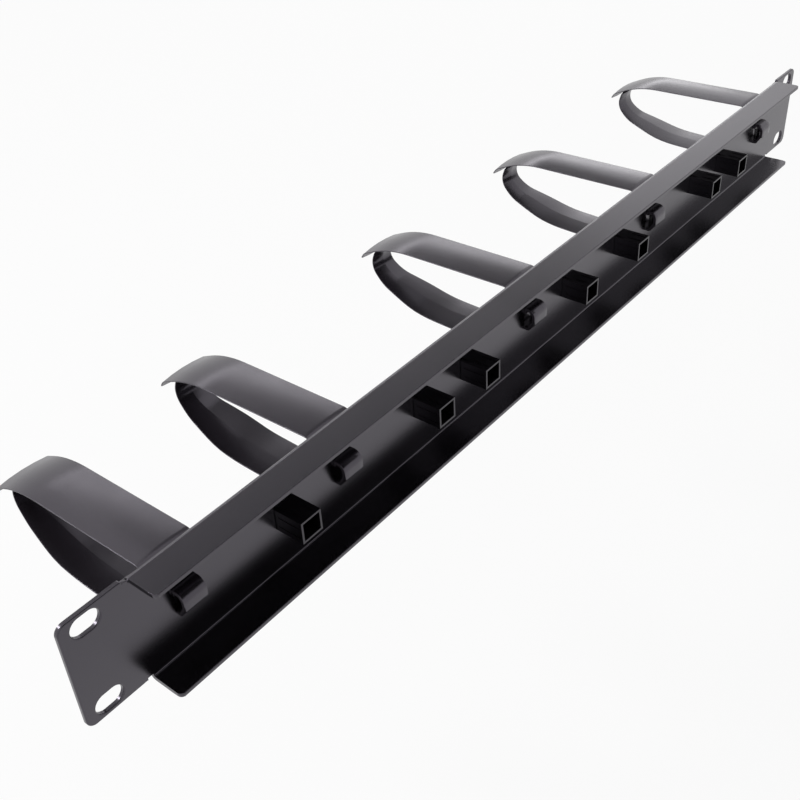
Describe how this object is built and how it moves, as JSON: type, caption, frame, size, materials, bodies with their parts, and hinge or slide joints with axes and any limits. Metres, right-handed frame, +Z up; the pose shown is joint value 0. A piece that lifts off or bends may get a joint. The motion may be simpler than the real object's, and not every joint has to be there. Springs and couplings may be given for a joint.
{
  "type": "horizontal cable manager",
  "caption": "One-unit steel rack panel with folded flanges and slotted ears, carrying plastic cable rings on its front.",
  "frame": {"origin": "midway between the four rack slots, on the rear face of the sheet, which meets the rack's rails", "axes": "+X along the panel, +Y to the rear of the rack, +Z up"},
  "size_m": [0.4826, 0.0927, 0.0429],
  "materials": {
    "powder_coat": "satin black powder coat",
    "ring_plastic": "fine satin moulded plastic",
    "plug_plastic": "satin moulded plastic"
  },
  "bodies": {
    "root": {"panel": "powder_coat", "left_end_ring": "ring_plastic", "left_ring": "ring_plastic", "middle_ring": "ring_plastic", "right_ring": "ring_plastic", "right_end_ring": "ring_plastic", "hole_plug_1": "plug_plastic", "hole_plug_2": "plug_plastic", "hole_plug_3": "plug_plastic", "hole_plug_4": "plug_plastic", "hole_plug_5": "plug_plastic", "hole_plug_6": "plug_plastic", "hole_plug_7": "plug_plastic"}
  },
  "joints": []
}
